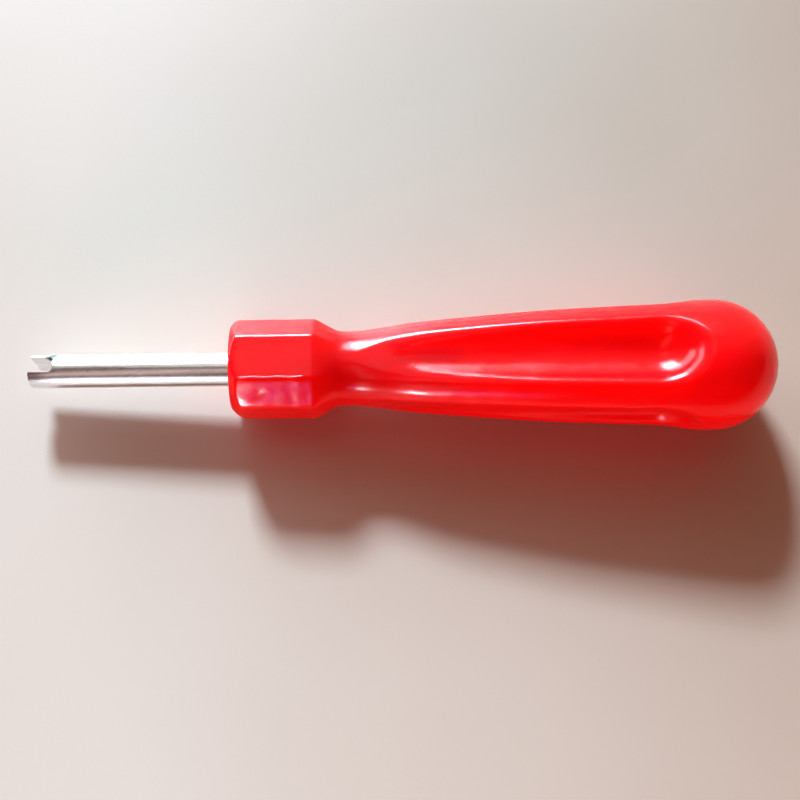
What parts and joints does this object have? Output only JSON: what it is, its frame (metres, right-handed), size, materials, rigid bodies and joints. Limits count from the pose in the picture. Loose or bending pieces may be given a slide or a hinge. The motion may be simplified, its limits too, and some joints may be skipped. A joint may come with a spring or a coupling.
{
  "type": "valve core screwdriver",
  "caption": "Small hand tool with a slotted, drilled steel tip for turning tyre valve cores, on a fluted plastic handle with an eight-sided collar and a ball end.",
  "frame": {"origin": "centre of the working tip, on the tool's axis, level with the ends of the two prongs", "axes": "+X along the tool's axis from the tip to the ball end, +Z out of the collar's upper wide flat"},
  "size_m": [0.1003, 0.0176, 0.0176],
  "materials": {
    "handle_plastic": "glossy injection moulded plastic, solid red, faint sink marks and a parting line",
    "shank_steel": "bright plated drawn steel rod with fine lengthwise drawing lines and a few pits"
  },
  "bodies": {
    "root": {"handle": "handle_plastic", "shank": "shank_steel"}
  },
  "joints": []
}
